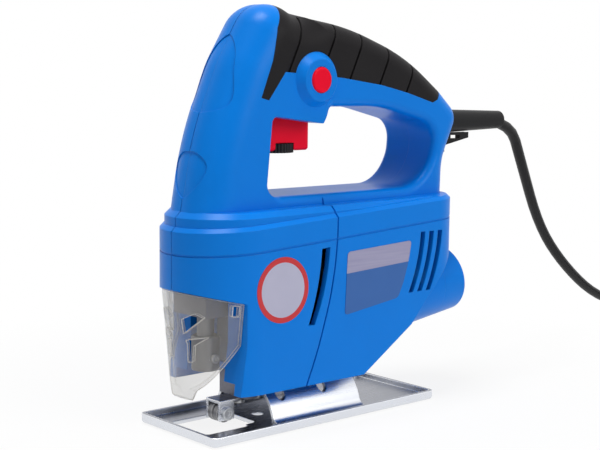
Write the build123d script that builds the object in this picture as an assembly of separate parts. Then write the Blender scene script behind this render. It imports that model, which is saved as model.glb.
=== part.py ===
from build123d import *
import math
import os

# Sizes are in millimetres. X runs to the rear, Y to the tool's right and Z up.
# The origin is the centre of the shoe's underside.

# Clearances
touch_gap = 0.3
running_gap = 0.03
fit_gap = 0.1

# Shoe
shoe_length = 140.0
shoe_width = 57.5
shoe_sheet = 1.8
shoe_rim = 4.5
shoe_corner = 3.0
shoe_bend = 1.5
blade_gap_front = -63.0
blade_gap_rear = -38.0
blade_gap_half = 14.0
throat_rear = -31.5
throat_half = 11.0
key_hole_radius = 2.8
shoe_gap_round = 3.0

# Saddle welded to the shoe, bent about the bevel axis
saddle_radius = 22.0
saddle_sheet = 1.6
saddle_front = -30.0
saddle_rear = 25.0
saddle_bend = 4.0
saddle_slot_half = 2.6
saddle_slot_reach = 57.0
bevel_limit = 45.0
tilt_gap = 0.65

# Bevel clamp under the housing
seat_front = -37.0
seat_rear = 10.0
seat_half = 11.0
clamp_screw_places = (-22.0, 3.8)
clamp_screw_radius = 2.0
clamp_head_radius = 3.5
clamp_head_height = 4.0
clamp_plate_half = 9.0
clamp_plate_thickness = 6.0
seat_screw_radius = 1.6
seat_screw_head = 2.8
seat_screw_head_height = 2.2

# Guide roller
roller_x = -44.5
roller_z = 6.8
roller_radius = 4.6
roller_half = 3.5
roller_groove = 0.8
roller_pin_radius = 1.5
fork_sheet = 1.4
fork_half_length = 4.2

# Motor body of the housing
body_half = 29.0
nose_centre = -43.0
body_rear = 89.0
rear_corner = 18.0
body_floor = 20.0
body_top = 104.0
shoulder_low_front = 94.6
shoulder_low_rear = 103.4
shoulder_low_bevel = 1.8
shoulder_high_front = 101.4
shoulder_high_rear = 102.8
shoulder_high_bevel = 2.5
shoulder_step = 2.2
wall = 3.0
belt_front = 83.0
belt_rear = 92.6
belt_width = 0.9
belt_depth = 0.5
wedge_start = 20.0
wedge_knee = (52.0, 40.5)
wedge_tail = (95.0, 86.5)
nose_bottom = 66.5
nose_slope = 0.228
leg_front_top = -51.0
leg_knee_z = 43.0
leg_front_bottom = -54.0
well_half = 14.0
well_rear = -38.0

# Handle loop of the housing: corner points in X and Z, with the radius at each inner corner
handle_points = (
    (-69.0, 90.0), (-61.5, 134.0), (-46.8, 169.0), (-28.0, 199.3), (-7.0, 188.8), (22.0, 184.9),
    (60.0, 172.0), (84.0, 155.4), (98.5, 143.0), (87.4, 119.5), (86.5, 90.0),
)
handle_radii = [160.0, 60.0, 17.0, 40.0, 150.0, 120.0, 25.0, 9.5, 25.0]
handle_half = 18.5
handle_round = 8.8

# Rounder front and dome of the handle: the point its top line runs on to, and its radii
dome_rise = (40.0, 215.0)
dome_rise_radius = 12.0
dome_round = 16.0

# Hand opening: all of it, the front of its softly rounded part and the rear of its crisp part
opening_points = (
    (-33.0, 107.0), (-29.4, 143.8), (1.4, 139.8), (6.6, 147.5),
    (40.0, 147.3), (78.5, 138.0), (75.5, 107.0),
)
opening_radii = [6.0, 3.0, 1.2, 3.0, 80.0, 11.0, 22.0]
opening_round = 4.0
soft_front = ((-31.0, 107.0), (-20.0, 120.0), (5.0, 133.0))
soft_radii = [4.0, 8.0, 8.0]
crisp_rear = ((5.7, 146.2), (12.0, 141.0), (-14.0, 107.0))
crisp_radii = [0.5, 1.0, 1.0]
handle_wall = 5.0
opening_wall = 4.0
handle_cavity_half = 13.0
bush_web_bottom = 103.5
bush_web_top = 110.5

# Shallow leaves in the handle's front: half outlines in Y and Z
leaf_high = (
    (0.0, 180.3), (5.0, 177.2), (9.2, 171.0), (11.0, 164.5), (13.2, 156.0), (13.0, 148.8), (6.5, 145.9),
    (0.0, 145.2),
)
leaf_low = ((0.0, 127.7), (6.0, 127.1), (11.0, 121.7), (10.0, 116.7), (6.0, 111.2), (0.0, 107.2))
leaf_depth = 0.5
leaf_reach = -35.0

# Grip cover: lower edge in X and Z
grip_skin = 2.2
grip_groove_depth = 0.9
grip_groove_width = 1.3
grip_points = (
    (-18.5, 205.0), (-20.4, 192.4), (-26.0, 183.1), (-29.5, 168.6), (-36.1, 151.9), (-31.7, 150.8),
    (-22.0, 163.5), (13.0, 161.0), (39.0, 157.6), (57.0, 153.8), (75.0, 148.9), (78.5, 150.3),
    (93.0, 164.5), (93.0, 205.0),
)
grip_groove_places = (-21.4, -0.8, 18.1, 39.0, 59.2)
grip_groove_level = 161.0
grip_groove_slope = 65.0
grip_groove_reach = 60.0

# Vents, seam groove and parting line
rear_vent_line = ((51.0, 56.5), (56.6, 71.2), (59.0, 86.0))
rear_vent_width = 3.2
rear_vent_step = 6.1
rear_vent_count = 3
fan_vent_outer = ((-2.9, 83.5), (-5.4, 67.0), (-12.0, 48.0))
fan_vent_inner = ((-8.0, 83.0), (-10.2, 67.0), (-16.0, 48.1))
seam_points = ((1.5, 106.0), (2.4, 84.0), (-2.7, 58.7), (-9.9, 36.0), (-17.7, 18.0))
seam_radii = [150.0, 120.0, 150.0]
seam_width = 0.9
seam_depth = 0.8
parting_width = 0.4
parting_depth = 0.5

# Housing screws: places in X and Z
housing_screw_places = (
    (-20.0, 33.0), (25.0, 33.5), (10.0, 92.0), (74.0, 88.0), (-41.0, 146.0), (58.0, 161.0), (78.0, 112.5),
)
screw_boss_radius = 4.0
screw_radius = 1.6
screw_head_radius = 3.2
screw_head_height = 2.4
screw_head_depth = 3.0
screw_reach = 9.0

# Blade guard
guard_front_bottom = -67.5
guard_bottom = 17.0
guard_bottom_radius = 21.0
guard_sheet = 2.0
guard_chin = ((-66.0, 17.0), (-65.4, 21.5))
guard_slot_angle = 22.0
guard_slot_high = ((-5.8, 53.8), (1.6, 57.0), (5.3, 55.3), (-4.9, 47.5))
guard_slot_low = ((-3.7, 44.5), (6.9, 46.5), (0.2, 42.4), (-0.6, 35.0), (-2.9, 34.6), (-2.9, 43.0))
guard_window = (2.6, 4.6)
guard_window_place = (-54.6, 58.5)

# Dust port
port_radius = 17.5
port_bore = 15.5
port_end = (104.0, 55.5)
port_tilt = 8.0
port_reach = 60.0
port_socket_depth = 11.0
port_duct_wall = 4.5
port_duct_radius = 9.0
port_belly_front = 28.0

# Motor
motor_z = 64.5
shaft_radius = 3.0
shaft_front = -40.0
shaft_rear = 77.8
bearing_radius = 9.5
bearing_width = 6.0
rear_bearing_x = 72.0
core_front = 6.0
core_length = 34.0
core_radius = 11.5
air_gap = 0.6
field_radius = 21.0
coil_radius = 2.8
coil_circle = 16.3
coil_overhang = 4.5
armature_coil_length = 6.5
armature_coil_radius = 10.0
commutator_front = 52.0
commutator_length = 12.0
commutator_radius = 9.0
brush_width = 5.0
brush_length = 12.0
brush_tube_wall = 1.2
fan_front = -16.0
fan_length = 9.0
fan_radius = 19.0
fan_hub = 8.0
fan_blades = 12
fan_blade_sheet = 1.2
baffle_front = -4.0
baffle_sheet = 2.0
motor_web_places = (10.0, 34.0)
motor_web = 4.0

# Gear train
gear_module = 0.8
pinion_teeth = 8
gear_teeth = 40
pressure_angle = 25.0
tooth_backlash = 0.14
gear_front = -38.5
gear_width = 6.0
gear_axle_radius = 4.0
gear_end_gap = 0.5
crank_radius = 9.0
crank_pin_radius = 2.0
crank_pin_grip = 5.0
crank_stand = 1.6
crank_roller_radius = 4.0
crank_roller_width = 4.5
case_wall = 6.0
shelf_bottom = 54.0
shelf_top = 63.0
shelf_half = 12.0
shelf_front = -62.0

# Plunger and blade clamp
plunger_x = -53.0
plunger_radius = 4.0
plunger_top = 118.0
plunger_bottom = 42.0
yoke_wall = 2.0
yoke_bar = 2.7
yoke_slot_depth = 3.9
link_gap = 0.4
bush_wall = 2.4
clamp_block_radius = 6.5
clamp_block_bottom = 28.0
clamp_grip = 2.0
blade_slot = 1.6
blade_slot_width = 8.0
blade_slot_depth = 13.0
clamp_set_screw_radius = 2.0
clamp_set_screw_rise = 6.0

# Switch, trigger, speed dial and lock button
trigger_front = -24.0
trigger_rear = 2.4
trigger_half = 8.0
trigger_bottom = 127.0
trigger_top = 150.0
trigger_travel = 6.0
stem_half = 3.0
stem_x = -11.0
stem_height = 10.0
dial_x = -13.4
dial_radius = 9.4
dial_drop = 0.9
dial_height = 4.3
dial_ribs = 36
dial_pin_radius = 1.5
dial_pin_height = 6.0
button_x = -3.4
button_z = 160.0
button_radius = 6.0
button_travel = 3.0
button_out = 23.0
button_flange = 1.5
boss_radius = 12.6
boss_out = 22.2
boss_ring = 9.7
boss_round = 0.8
switch_front = -25.0
switch_rear = 24.0
switch_top = 172.0
capacitor_length = 14.0
capacitor_half = 6.5
capacitor_bottom = 152.0
capacitor_top = 168.0

# Cord sleeve, cord clamp and key holder
sleeve_z = 138.5
sleeve_end = 147.0
sleeve_root_radius = 6.2
sleeve_end_radius = 4.8
sleeve_flange_radius = 7.6
sleeve_flange = 2.5
cord_radius = 3.0
cord_stub_front = 82.2
clamp_bar_front = 82.3
clamp_bar_length = 5.0
clamp_bar_half = 9.0
clamp_bar_height = 3.2
clamp_bar_screw = 6.3
clamp_bar_screw_radius = 1.3
key_half = 1.6
key_top = 136.0
key_under = ((121.5, 129.4), (107.0, 126.6), (96.0, 124.6), (85.0, 124.6))
key_windows = ((97.5, 103.0, 127.2), (107.5, 114.5, 129.2))
key_window_top = 131.0
key_knob_x = 101.0
key_knob_low = 122.4
key_knob_radius = 2.4

# Cord route in X, Y and Z, then the coil and the plug
cord_route = (
    (129.5, 0.0, 138.5), (157.0, 0.0, 138.5), (181.5, 11.0, 113.5), (226.0, 32.0, 71.0),
    (262.0, 40.0, 43.0), (305.0, 46.0, 17.5), (351.0, 49.0, 4.7), (396.0, 49.0, 4.7),
)
coil_z = 4.7
coil_outer = 48.0
coil_pitch = 6.6
coil_turns = 4
tie_sheet = 1.2
tie_width = 7.0
plug_length = 40.0
plug_width = 34.0
plug_height = 21.0
plug_neck = 12.0
plug_neck_radius = 5.0
pin_radius = 2.4
pin_length = 19.0
pin_spread = 19.0

# Sizes that follow from the ones above
tilt_reach = math.hypot(shoe_width / 2, shoe_rim) + tilt_gap
channel_half = math.sqrt(max(tilt_reach ** 2 - body_floor ** 2, seat_half ** 2))
rim_angle = math.radians(bevel_limit) + math.atan2(2 * shoe_rim, shoe_width)
channel_top = tilt_reach * math.sin(rim_angle) + 1.0
cavity_floor = channel_top + wall
gear_axle_z = motor_z + gear_module * (pinion_teeth + gear_teeth) / 2
case_wall_front = gear_front + gear_width + 2 * gear_end_gap
case_rear = case_wall_front + case_wall
pinion_bore = 0.62 * gear_module * pinion_teeth / 2
pinion_clear = gear_module * (pinion_teeth / 2 + 1.5)
nose_front = nose_centre - body_half
well_roof = nose_bottom + wall + 1
crank_roller_rear = gear_front - crank_stand
crank_roller_front = crank_roller_rear - crank_roller_width
yoke_rear = crank_roller_front - link_gap
strap_bottom = roller_z + roller_radius + touch_gap
strap_top = strap_bottom + fork_sheet
fork_inner = roller_half + touch_gap
fork_outer = fork_inner + fork_sheet
seat_screw_x = (seat_front + saddle_front) / 2
bevel_angle = math.radians(bevel_limit)
seat_nose_half = strap_top / math.tan(bevel_angle) - (shoe_sheet + touch_gap) / math.sin(bevel_angle)
yoke_slot_half = crank_radius + crank_roller_radius + touch_gap
yoke_slot_height = crank_roller_radius + touch_gap
yoke_half = yoke_slot_half + yoke_wall
yoke_reach = yoke_slot_height + yoke_bar
plunger_stroke = 2 * crank_radius
plate_radius = saddle_radius - saddle_sheet - touch_gap
plate_bottom = plate_radius - clamp_plate_thickness
flange_outer = handle_cavity_half - 0.2
switch_half = flange_outer - button_flange - button_travel - touch_gap
sleeve_root = max(point[0] for point in handle_points) - 3.0
sleeve_inner = sleeve_root - 4.5
clamp_screw_x = clamp_bar_front + clamp_bar_length / 2
coil_centre_x = cord_route[-1][0] + 2 * cord_radius
coil_centre_y = cord_route[-1][1] - coil_outer
coil_top_z = coil_z + coil_pitch
plug_rear = coil_centre_x - coil_outer
plug_y = coil_centre_y + coil_pitch / 2 - coil_outer


def block(x0, x1, y0, y1, z0, z1):
    middle = Pos((x0 + x1) / 2, (y0 + y1) / 2, (z0 + z1) / 2)
    return middle * Box(x1 - x0, y1 - y0, z1 - z0)


def rod_x(radius, x0, x1, y, z):
    return Pos((x0 + x1) / 2, y, z) * Rot(0, 90, 0) * Cylinder(radius, x1 - x0)


def rod_y(radius, y0, y1, x, z):
    return Pos(x, (y0 + y1) / 2, z) * Rot(90, 0, 0) * Cylinder(radius, y1 - y0)


def rod_z(radius, z0, z1, x, y):
    return Pos(x, y, (z0 + z1) / 2) * Cylinder(radius, z1 - z0)


def side_prism(face, y0, y1):
    return Pos(0, y1, 0) * extrude(Plane.XZ * face, y1 - y0)


def polygon(points):
    return make_face(Polyline(*points, close=True))


def write(name, shape):
    export_step(shape, "parts/" + name + ".step")


# Outer form of the housing
def plan_face(inset):
    half = body_half - inset
    length = body_rear - inset - nose_centre
    plan = Pos(nose_centre, 0) * Circle(half)
    plan += Pos(nose_centre + length / 2, 0) * Rectangle(length, 2 * half)
    rear_points = plan.vertices().sort_by(Axis.X)[-2:]
    return fillet(rear_points, rear_corner - inset)


def under_line(front_z, rear_z):
    return polygon(((nose_front, 0), (body_rear, 0), (body_rear, rear_z), (nose_front, front_z)))


def wedge_face(inset):
    low = body_floor - 5
    knee_x, knee_z = wedge_knee
    tail_x, tail_z = wedge_tail
    rise = inset * math.hypot(1, (tail_z - knee_z) / (tail_x - knee_x))
    return polygon((
        (wedge_start - 5, low), (wedge_start - inset / 2, body_floor + inset),
        (knee_x, knee_z + rise), (tail_x, tail_z + rise), (tail_x, low),
    ))


def body_tier(inset, step, front_z, rear_z, bevel):
    form = Pos(0, 0, body_floor + inset) * extrude(plan_face(inset + step), body_top)
    form &= side_prism(under_line(front_z - inset, rear_z - inset), -2 * body_half, 2 * body_half)
    top = form.faces().sort_by(Axis.Z)[-1]
    return chamfer(top.edges(), bevel)


def body_form(inset):
    form = body_tier(inset, 0, shoulder_low_front, shoulder_low_rear, shoulder_low_bevel)
    form += body_tier(inset, shoulder_step, shoulder_high_front, shoulder_high_rear, shoulder_high_bevel)
    form -= side_prism(wedge_face(inset), -2 * body_half, 2 * body_half)
    start = port_belly_front - port_end[0]
    belly = port_rod(port_radius - inset, start, 0)
    return form + (belly & block(0, body_rear - inset, -body_half, body_half, 0, body_top))


def handle_face(inset):
    curve = FilletPolyline(*handle_points, radius=handle_radii)
    face = make_face([*curve.edges(), Line(curve @ 1, curve @ 0)])
    if inset > 0:
        face = offset(face, -inset, kind=Kind.INTERSECTION)
    return face


def opening_face(grow):
    face = make_face(FilletPolyline(*opening_points, radius=opening_radii, close=True))
    if grow > 0:
        face = offset(face, grow, kind=Kind.ARC)
    return face


def handle_bar(face, inset):
    return side_prism(face, inset - handle_half, handle_half - inset).solid()


def rounded_sides(form, radius):
    low_z = form.bounding_box().min.Z + 1
    rounded = []
    for edge in form.edges():
        middle = edge.center()
        if abs(middle.Y) > handle_half / 2 and middle.Z > low_z:
            rounded.append(edge)
    return fillet(rounded, radius)


def dome_form(inset):
    curve = FilletPolyline(*handle_points[:5], dome_rise, radius=[*handle_radii[:3], dome_rise_radius])
    far = (2 * body_rear, dome_rise[1])
    low = (far[0], handle_points[0][1])
    face = make_face([*curve.edges(), Polyline(curve @ 1, far, low, curve @ 0)])
    if inset > 0:
        face = offset(face, -inset, kind=Kind.INTERSECTION)
    return rounded_sides(handle_bar(face, inset), dome_round - inset)


def handle_form(inset):
    form = rounded_sides(handle_bar(handle_face(inset), inset), handle_round - inset)
    return form & dome_form(inset)


def handle_loop():
    radii = [*soft_radii, *opening_radii[3:]]
    soft = make_face(FilletPolyline(*soft_front, *opening_points[3:], radius=radii, close=True))
    radii = [*opening_radii[:3], *crisp_radii]
    crisp = make_face(FilletPolyline(*opening_points[:3], *crisp_rear, radius=radii, close=True))
    form = handle_form(0) - side_prism(soft, -2 * body_half, 2 * body_half)
    floor_edges = []
    for edge in form.edges().filter_by(Axis.X):
        middle = edge.center()
        if abs(middle.Z - opening_points[0][1]) < 0.1 and abs(middle.Y) > handle_half / 2:
            floor_edges.append(edge)
    loop = fillet(floor_edges, opening_round)
    return loop - side_prism(crisp, -2 * body_half, 2 * body_half)


def button_boss():
    rise = boss_out - handle_half
    middle = Pos(button_x, -handle_half - rise / 2, button_z) * Rot(90, 0, 0)
    boss = middle * Cone(boss_radius, boss_ring, rise)
    boss = fillet(boss.edges().filter_by(GeomType.CIRCLE).sort_by(Axis.Y)[0], boss_round)
    return boss + rod_y(boss_radius, -handle_half, -handle_cavity_half, button_x, button_z)


def skin_cut(face, form):
    return side_prism(face, -2 * body_half, 2 * body_half) - form


# Grip cover: the outer skin of the handle's top
def grip_blank():
    zone = side_prism(polygon(grip_points), -body_half, body_half)
    zone -= rod_y(boss_radius + touch_gap, -body_half, 0, button_x, button_z)
    return (handle_form(0) & zone) - handle_form(grip_skin)


def make_grip(blank):
    grip = blank
    shallow = handle_form(grip_groove_depth)
    for x in grip_groove_places:
        groove = Pos(x, grip_groove_level) * Rot(0, 0, grip_groove_slope)
        groove *= Rectangle(grip_groove_reach, grip_groove_width)
        grip -= skin_cut(groove, shallow)
    return grip


# Inside of the housing
def screw_bosses(radius):
    bosses = None
    for x, z in housing_screw_places:
        boss = rod_y(radius, -body_half, body_half, x, z)
        bosses = boss if bosses is None else bosses + boss
    return bosses


def body_cavity():
    space = body_form(wall) - block(-200, 200, -body_half, body_half, 0, cavity_floor)
    space -= block(-200, well_rear + wall, -body_half, body_half, 0, nose_bottom + wall)
    for x in motor_web_places:
        web = block(x - motor_web / 2, x + motor_web / 2, -body_half, body_half, 0, body_top)
        space -= web - rod_x(field_radius + fit_gap, -100, 100, 0, motor_z)
    web = block(rear_bearing_x, rear_bearing_x + bearing_width, -body_half, body_half, 0, body_top)
    space -= web
    rear = rear_bearing_x + bearing_width
    space += rod_x(bearing_radius + running_gap, rear_bearing_x - 1, rear, 0, motor_z)
    return space - screw_bosses(screw_boss_radius)


def handle_cavity():
    face = handle_face(handle_wall) - opening_face(opening_wall)
    space = side_prism(face, -handle_cavity_half, handle_cavity_half)
    low = min(point[1] for point in handle_points)
    space -= block(-200, opening_points[0][0] + 20, -body_half, body_half, low, bush_web_top)
    rib_top = sleeve_z - cord_radius
    rib_low = opening_points[5][1] - 20
    rib = block(clamp_bar_front, clamp_bar_front + clamp_bar_length, -body_half, body_half, rib_low, rib_top)
    cheek = handle_cavity_half + 1
    for side in (-1, 1):
        y0, y1 = sorted((side * (switch_half + fit_gap), side * cheek))
        space -= block(10, switch_rear - 1, y0, y1, trigger_top, switch_top)
    return space - rib - screw_bosses(screw_boss_radius)


def front_cut():
    drop = nose_slope * (leg_front_top - nose_front)
    ahead = nose_front - 20
    return polygon((
        (ahead, nose_bottom + 20 * nose_slope), (leg_front_top, nose_bottom - drop),
        (leg_front_top, leg_knee_z), (leg_front_bottom, body_floor - 1), (ahead, 0),
    ))


def vent_cuts():
    cuts = []
    half = rear_vent_width / 2
    for number in range(rear_vent_count):
        shift = number * rear_vent_step
        sides = []
        for side in (shift - half, shift + half):
            sides.append(ThreePointArc(*[(x + side, z) for x, z in rear_vent_line]))
        front, rear = sides
        cuts.append(make_face([front, Line(front @ 1, rear @ 1), rear, Line(rear @ 0, front @ 0)]))
    outer = ThreePointArc(*fan_vent_outer)
    inner = ThreePointArc(*fan_vent_inner)
    cuts.append(make_face([outer, Line(outer @ 1, inner @ 1), inner, Line(inner @ 0, outer @ 0)]))
    return cuts


def leaf_cuts():
    cuts = []
    for points in (leaf_high, leaf_low):
        left = Spline(*[(-y, z) for y, z in points])
        right = Spline(*points)
        face = make_face([left, right])
        prism = Pos(leaf_reach, 0, 0) * extrude(Plane.YZ * face, -body_half - handle_half)
        cuts.append(prism - handle_form(leaf_depth))
    return cuts


def yoke_path():
    front = plunger_x - plunger_radius / 2 - link_gap
    half = yoke_half + link_gap
    reach = yoke_reach + plunger_stroke / 2 + link_gap
    return block(front, yoke_rear + link_gap, -half, half, gear_axle_z - reach, gear_axle_z + reach)


def make_housing(blank):
    form = body_form(0) + handle_loop() + button_boss()
    form -= side_prism(front_cut(), -2 * body_half, 2 * body_half)
    shallow = body_form(seam_depth) + handle_form(seam_depth)
    seam = trace(FilletPolyline(*seam_points, radius=seam_radii), seam_width)
    form -= skin_cut(seam, shallow)
    belt = extrude(plan_face(-1) - plan_face(belt_depth), body_top)
    strip = under_line(belt_front, belt_rear) - under_line(belt_front - belt_width, belt_rear - belt_width)
    form -= belt & side_prism(strip, -2 * body_half, 2 * body_half)
    for cut in leaf_cuts():
        form -= cut
    parting = block(-200, 200, -parting_width / 2, parting_width / 2, 0, 250)
    form -= parting - body_form(parting_depth) - handle_form(parting_depth)
    form -= body_cavity() + handle_cavity()
    well = block(nose_front + wall, well_rear, -well_half, well_half, 0, well_roof)
    form -= well & extrude(plan_face(wall), body_top)
    form -= yoke_path()
    gear_tip = gear_module * (gear_teeth / 2 + 1) + touch_gap
    form -= rod_x(gear_tip, yoke_rear, case_wall_front, 0, gear_axle_z)
    case_half = shelf_half + fit_gap
    form -= block(well_rear - 1, well_rear + wall + 1, -case_half, case_half, cavity_floor, well_roof)
    form -= block(-200, 200, -channel_half, channel_half, 0, channel_top)
    for face in vent_cuts():
        for side in (-1, 1):
            y0, y1 = sorted((side * (body_half - 2 * wall), side * 2 * body_half))
            form -= side_prism(face, y0, y1)
    form -= blank
    form -= rod_z(plunger_radius + bush_wall + fit_gap, 90, bush_web_top + 1, plunger_x, 0)
    pocket = touch_gap + 0.1
    form -= block(
        trigger_front - pocket, trigger_rear + pocket, -trigger_half - pocket, trigger_half + pocket,
        trigger_bottom, trigger_top,
    )
    form -= rod_y(button_radius + fit_gap, -body_half, 0, button_x, button_z)
    form -= rod_x(sleeve_root_radius + fit_gap, sleeve_inner - 1, sleeve_end, 0, sleeve_z)
    flange_front = sleeve_inner - sleeve_flange - fit_gap
    form -= rod_x(sleeve_flange_radius + fit_gap, flange_front, sleeve_inner, 0, sleeve_z)
    form -= port_rod(port_duct_radius, -port_reach / 2, 0)
    for x, z in housing_screw_places:
        head_y = screw_head_y(z)
        form -= rod_y(screw_head_radius + fit_gap, head_y, 2 * body_half, x, z)
        form -= rod_y(screw_radius + fit_gap, -screw_reach - 1, head_y, x, z)
    for side in (-1, 1):
        form -= rod_z(clamp_bar_screw_radius, sleeve_z - 14, sleeve_z, clamp_screw_x, side * clamp_bar_screw)
    form -= rod_z(seat_screw_radius + fit_gap, 0, cavity_floor + 1, seat_screw_x, 0)
    for x in clamp_screw_places:
        form -= rod_z(clamp_screw_radius, 0, cavity_floor + 1, x, 0)
    left = form & block(-200, 200, -100, 0, -10, 300)
    right = form & block(-200, 200, 0, 100, -10, 300)
    return left, right


def screw_head_y(z):
    side = body_half if z < body_top else handle_half
    return side - screw_head_depth - screw_head_height


def make_housing_screws():
    screws = []
    for x, z in housing_screw_places:
        head_y = screw_head_y(z)
        screw = rod_y(screw_radius, -screw_reach, head_y, x, z)
        screw += rod_y(screw_head_radius, head_y, head_y + screw_head_height, x, z)
        recess_y = head_y + screw_head_height - 1.4
        for turn in (0, 90):
            cross = Box(screw_head_radius * 1.3, 4, 0.9)
            screw -= Pos(x, recess_y + 2, z) * Rot(0, turn, 0) * cross
        screws.append(screw)
    return Compound(screws)


# Blade guard
def guard_d(radius, front, rear, z):
    centre = front + radius
    side = math.sqrt(radius ** 2 - (rear - centre) ** 2)
    arc = ThreePointArc((rear, -side), (front, 0), (rear, side))
    return Pos(0, 0, z) * make_face([arc, Line(arc @ 1, arc @ 0)])


def guard_cone(inset, rear):
    top_z = nose_bottom + 8
    top = guard_d(body_half - fit_gap - inset, nose_front + fit_gap + inset, rear, top_z)
    low = guard_d(guard_bottom_radius - inset, guard_front_bottom + inset, rear, guard_bottom - 1)
    return loft([low, top])


def make_guard():
    rear = leg_front_top - touch_gap
    guard = guard_cone(0, rear) - guard_cone(guard_sheet, rear + 0.01)
    drop = nose_slope * (leg_front_top - nose_front)
    roof = nose_bottom - touch_gap
    guard -= side_prism(polygon((
        (nose_front - 10, roof + 10 * nose_slope), (leg_front_top + 2, roof - drop - 2 * nose_slope),
        (leg_front_top + 2, 100), (nose_front - 10, 100),
    )), -50, 50)
    guard -= side_prism(polygon((
        *guard_chin, (leg_front_top, leg_knee_z), (0, leg_knee_z), (0, 0), (-100, 0),
        (-100, guard_bottom),
    )), -50, 50)
    for side in (-1, 1):
        turn = math.radians(guard_slot_angle)
        out = Vector(-math.cos(turn), side * math.sin(turn), 0)
        along = Vector(math.sin(turn), side * math.cos(turn), 0)
        for points in (guard_slot_high, guard_slot_low):
            start = Vector(nose_centre, 0, 0) + out * (guard_bottom_radius / 2)
            corners = [start + along * t + Vector(0, 0, z) for t, z in points]
            face = make_face(Polyline(*corners, close=True))
            guard -= extrude(face, body_half, dir=out)
        width, height = guard_window
        x, z = guard_window_place
        y0, y1 = sorted((side * 10, side * 40))
        guard -= block(x - width / 2, x + width / 2, y0, y1, z - height / 2, z + height / 2)
    return guard


# Dust port
def port_rod(radius, start, end):
    place = Pos(port_end[0], 0, port_end[1]) * Rot(0, -port_tilt, 0)
    return place * Pos((start + end) / 2, 0, 0) * Rot(0, 90, 0) * Cylinder(radius, end - start)


def make_port():
    port = port_rod(port_radius, -port_reach, 0)
    rim = port.edges().filter_by(GeomType.CIRCLE).sort_by(Axis.X)[-1]
    port = fillet(rim, 0.8)
    port -= port_rod(port_bore, -port_socket_depth, 1)
    port -= port_rod(port_radius - port_duct_wall, -port_reach - 1, 0)
    port -= body_form(0)
    port -= block(-200, wedge_knee[0], -50, 50, 0, 100)
    return max(port.solids(), key=lambda solid: solid.volume)


# Shoe and saddle
def make_shoe():
    shoe = extrude(RectangleRounded(shoe_length, shoe_width, shoe_corner), shoe_rim)
    bottom = shoe.faces().sort_by(Axis.Z)[0]
    shoe = fillet(bottom.edges(), shoe_bend)
    inner_length = shoe_length - 2 * shoe_sheet
    inner_width = shoe_width - 2 * shoe_sheet
    tray = RectangleRounded(inner_length, inner_width, shoe_corner - shoe_sheet)
    shoe -= Pos(0, 0, shoe_sheet) * extrude(tray, shoe_rim)
    gap = polygon((
        (blade_gap_front, -blade_gap_half), (blade_gap_rear, -blade_gap_half), (blade_gap_rear, -throat_half),
        (throat_rear, -throat_half), (throat_rear, throat_half), (blade_gap_rear, throat_half),
        (blade_gap_rear, blade_gap_half), (blade_gap_front, blade_gap_half),
    ))
    ends = [v for v in gap.vertices() if abs(v.X - blade_gap_rear) > 1 or abs(v.Y) > throat_half + 1]
    gap = fillet(ends, shoe_gap_round)
    shoe -= Pos(0, 0, -1) * extrude(gap, shoe_rim)
    for x in clamp_screw_places:
        shoe -= rod_z(key_hole_radius, -1, shoe_rim, x, 0)
    return shoe


def make_saddle():
    inner = saddle_radius - saddle_sheet
    foot = shoe_width / 2 - shoe_sheet - touch_gap
    foot_top = shoe_sheet + saddle_sheet
    above = Pos(0, shoe_sheet + saddle_radius) * Rectangle(4 * saddle_radius, 2 * saddle_radius)
    feet = Pos(0, (shoe_sheet + foot_top) / 2) * Rectangle(2 * foot, saddle_sheet)
    section = (Circle(saddle_radius) & above) + feet
    bends = []
    for corner in section.vertices():
        if abs(corner.Y - foot_top) < 0.01 and abs(corner.X) < foot - 0.5:
            bends.append(corner)
    section = fillet(bends, saddle_bend) - Circle(inner)
    saddle = extrude(Plane.YZ * section, saddle_rear - saddle_front)
    saddle = Pos(saddle_front, 0, 0) * saddle
    slot_end = saddle_radius * math.cos(math.radians(saddle_slot_reach)) + saddle_slot_half
    for x in clamp_screw_places:
        half = saddle_slot_half
        saddle -= block(x - half, x + half, -50, 50, slot_end, 2 * saddle_radius)
        saddle -= rod_y(half, -50, 50, x, slot_end)
    return saddle


# Bevel clamp and guide roller, fixed to the housing
def make_seat():
    seat = block(seat_front, seat_rear, -seat_half, seat_half, 0, channel_top)
    ahead = saddle_front - touch_gap
    bore = rod_x(saddle_radius + touch_gap, ahead, 100, 0, 0)
    seat -= bore + block(-200, ahead, -50, 50, 0, strap_top)
    for side in (-1, 1):
        y0, y1 = sorted((side * seat_nose_half, side * 50))
        seat -= block(-200, ahead, y0, y1, 0, channel_top + 1)
    for x in clamp_screw_places:
        seat -= rod_z(clamp_screw_radius, 0, 100, x, 0)
    return seat - rod_z(seat_screw_radius + fit_gap, 0, 100, seat_screw_x, 0)


def make_seat_screw():
    screw = rod_z(seat_screw_radius, strap_bottom, cavity_floor + 8, seat_screw_x, 0)
    head_bottom = strap_bottom - seat_screw_head_height
    screw += rod_z(seat_screw_head, head_bottom, strap_bottom, seat_screw_x, 0)
    socket = extrude(RegularPolygon(seat_screw_radius, 6), seat_screw_head_height / 2)
    return screw - Pos(seat_screw_x, 0, head_bottom) * socket


def make_clamp_plate():
    front = clamp_screw_places[0] - clamp_head_radius - 2
    rear = clamp_screw_places[1] + clamp_head_radius + 2
    plate = rod_x(plate_radius, front, rear, 0, 0)
    plate &= block(front, rear, -clamp_plate_half, clamp_plate_half, plate_bottom, plate_radius + 1)
    for x in clamp_screw_places:
        plate -= rod_z(clamp_screw_radius + fit_gap, 0, 50, x, 0)
    return plate


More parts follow.
